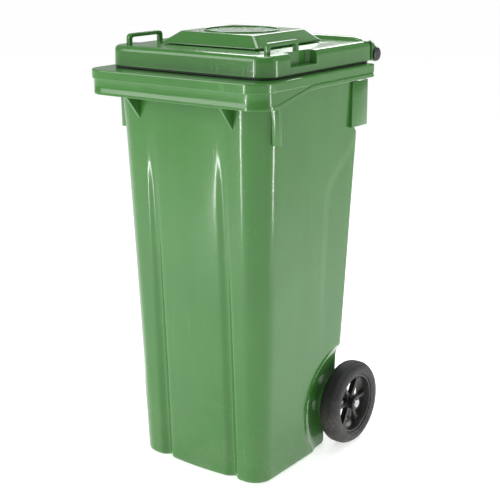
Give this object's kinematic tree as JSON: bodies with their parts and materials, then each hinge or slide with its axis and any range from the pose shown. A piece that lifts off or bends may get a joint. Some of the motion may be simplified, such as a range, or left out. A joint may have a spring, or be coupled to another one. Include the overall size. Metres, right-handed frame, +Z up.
{
  "type": "wheelie bin",
  "caption": "Two-wheeled refuse bin with tapered container, comb ledge, hinged lid with raised filter cover and grab loops, and rubber-tyred wheels on a steel axle.",
  "frame": {"origin": "middle of the overall footprint, on the ground", "axes": "+Z up; -Y towards the comb ledge (front), +Y towards wheels and handle; +X to the bin's left hand seen from the wheels, right seen from the front"},
  "size_m": [0.47, 0.5118, 0.985],
  "materials": {
    "green_plastic": "glossy moulded polyethylene, mid green",
    "black_plastic": "satin moulded plastic, black",
    "gasket_rubber": "extruded black rubber",
    "tyre_rubber": "solid black rubber",
    "zinc_steel": "zinc-plated steel",
    "filter_fibre": "coarse fibre mat"
  },
  "bodies": {
    "container": {"container": "green_plastic", "axle": "zinc_steel", "axle_end_left": "zinc_steel", "axle_end_right": "zinc_steel", "axle_spacer_left": "black_plastic", "axle_spacer_right": "black_plastic", "axle_washer_left": "zinc_steel", "axle_washer_right": "zinc_steel", "hinge_pin_left": "black_plastic", "hinge_pin_right": "black_plastic"},
    "lid": {"lid": "green_plastic", "lid_gasket": "gasket_rubber", "filter_cover": "green_plastic", "filter_tray": "black_plastic", "filter_mat": "filter_fibre"},
    "wheel_left": {"wheel_left": "black_plastic", "tyre_left": "tyre_rubber", "latch_spring_left": "zinc_steel"},
    "wheel_right": {"wheel_right": "black_plastic", "tyre_right": "tyre_rubber", "latch_spring_right": "zinc_steel"},
    "latch_left": {"wheel_latch_left": "black_plastic"},
    "latch_right": {"wheel_latch_right": "black_plastic"}
  },
  "joints": [
    {"name": "lid_hinge", "type": "hinge", "parent": "container", "child": "lid", "pos_m": [0, 0.21392, 0.9235], "axis": [-1, 0, 0], "range_deg": [0, 255]},
    {"name": "wheel_left_spin", "type": "hinge", "parent": "container", "child": "wheel_left", "pos_m": [-0.196, 0.15592, 0.1], "axis": [1, 0, 0], "continuous": true},
    {"name": "wheel_right_spin", "type": "hinge", "parent": "container", "child": "wheel_right", "pos_m": [0.196, 0.15592, 0.1], "axis": [1, 0, 0], "continuous": true},
    {"name": "latch_left_pull", "type": "slide", "parent": "wheel_left", "child": "latch_left", "axis": [0, 0, -1], "range_m": [0, 0.005], "stiffness_N_per_m": 400, "springref_m": -0.004, "deforming": ["latch_spring_left"]},
    {"name": "latch_right_pull", "type": "slide", "parent": "wheel_right", "child": "latch_right", "axis": [0, 0, -1], "range_m": [0, 0.005], "stiffness_N_per_m": 400, "springref_m": -0.004, "deforming": ["latch_spring_right"]}
  ]
}
